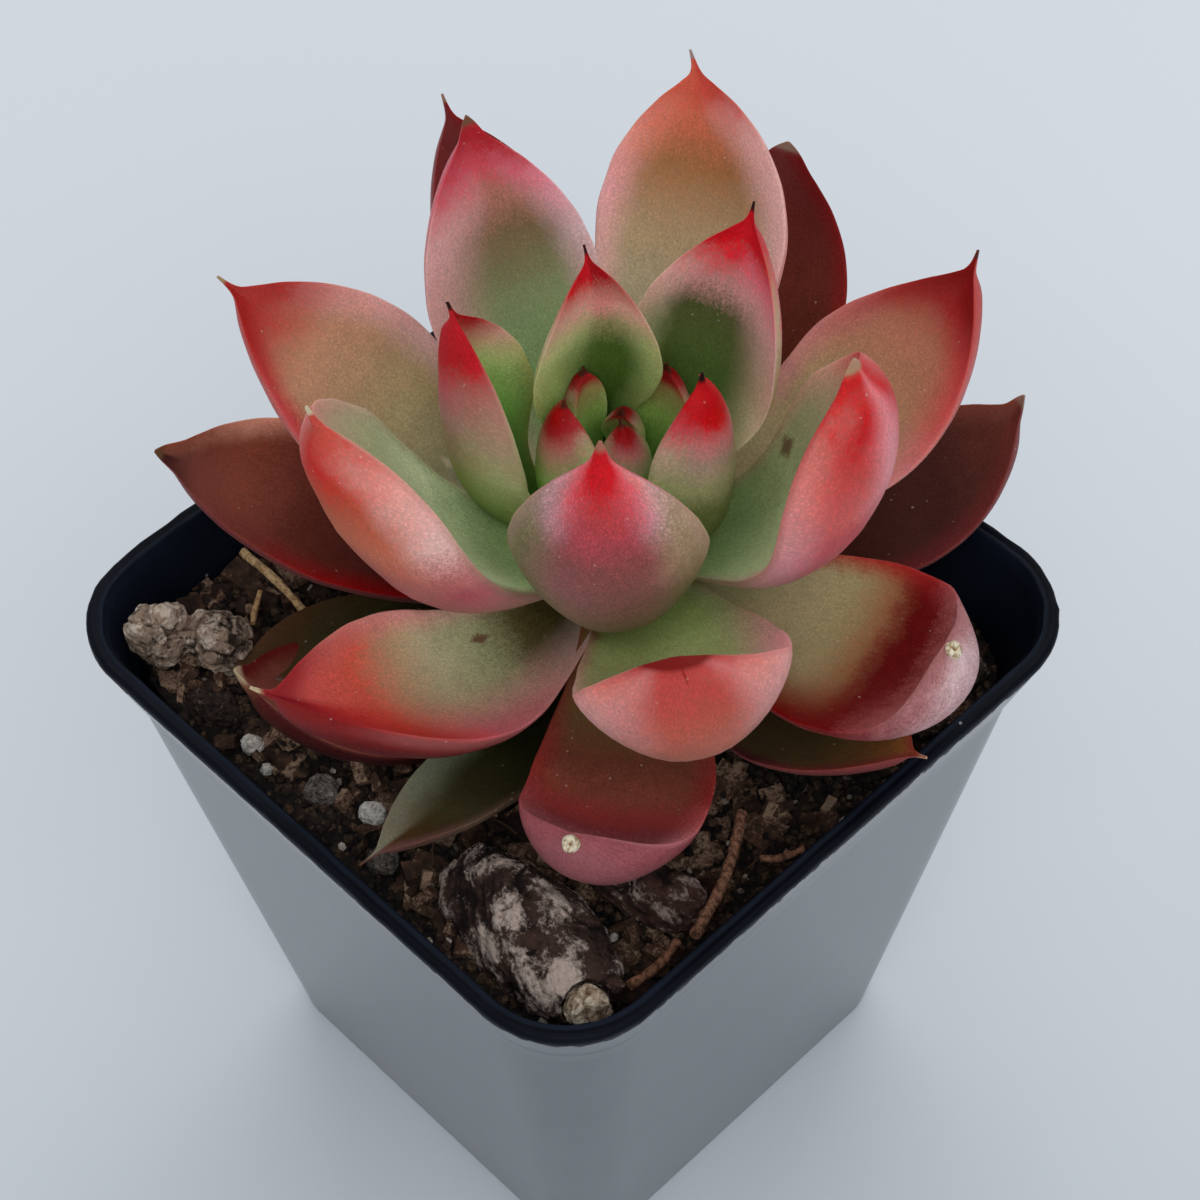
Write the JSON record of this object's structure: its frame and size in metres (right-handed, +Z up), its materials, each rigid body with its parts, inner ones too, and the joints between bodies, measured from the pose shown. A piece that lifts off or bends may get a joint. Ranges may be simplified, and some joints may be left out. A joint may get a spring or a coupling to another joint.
{
  "type": "potted echeveria",
  "caption": "Rosette succulent with pointed fleshy leaves on a short stem, in a square tapered nursery pot of soil with bark, stones and twigs.",
  "frame": {"origin": "centre of the pot's flat underside, where it rests", "axes": "+Z up along the pot's axis; the pot's straight sides run along X and Y, and the picture looks in over the corner at +X, -Y"},
  "size_m": [0.0888, 0.0959, 0.1323],
  "materials": {
    "pot": "satin",
    "soil": "matte",
    "stem": "matte",
    "heart_leaf": "satin",
    "inner_leaf": "satin",
    "middle_leaf": "satin",
    "outer_leaf": "satin",
    "lower_leaf": "satin",
    "stone": "matte",
    "tan_bark": "matte",
    "bark": "matte",
    "perlite": "matte",
    "twig": "matte",
    "straw": "matte"
  },
  "bodies": {
    "root": {"pot": "pot", "soil": "soil", "stem": "stem", "heart_bud": "heart_leaf", "heart_leaf_1": "heart_leaf", "heart_leaf_2": "heart_leaf", "heart_leaf_3": "heart_leaf", "inner_leaf_1": "inner_leaf", "inner_leaf_2": "inner_leaf", "inner_leaf_3": "inner_leaf", "inner_leaf_4": "inner_leaf", "inner_leaf_5": "inner_leaf", "middle_leaf_1": "middle_leaf", "middle_leaf_2": "middle_leaf", "middle_leaf_3": "middle_leaf", "middle_leaf_4": "middle_leaf", "middle_leaf_5": "middle_leaf", "outer_leaf_1": "outer_leaf", "outer_leaf_2": "outer_leaf", "outer_leaf_3": "outer_leaf", "outer_leaf_4": "outer_leaf", "outer_leaf_5": "outer_leaf", "outer_leaf_6": "outer_leaf", "outer_leaf_7": "outer_leaf", "outer_leaf_8": "outer_leaf", "lower_leaf_1": "lower_leaf", "lower_leaf_2": "lower_leaf", "lower_leaf_3": "lower_leaf", "lower_leaf_4": "lower_leaf", "lower_leaf_5": "lower_leaf", "lower_leaf_6": "lower_leaf", "lower_leaf_7": "lower_leaf", "lower_leaf_8": "lower_leaf", "lower_leaf_9": "lower_leaf", "left_stone": "stone", "tan_chip": "tan_bark", "front_bark": "bark", "side_bark": "bark", "left_chip": "bark", "right_chip_1": "bark", "right_chip_2": "bark", "gravel_1": "stone", "gravel_2": "stone", "perlite_1": "perlite", "perlite_2": "perlite", "perlite_3": "perlite", "twig_1": "twig", "twig_2": "twig", "twig_3": "twig", "straw_1": "straw", "straw_2": "straw"}
  },
  "joints": []
}
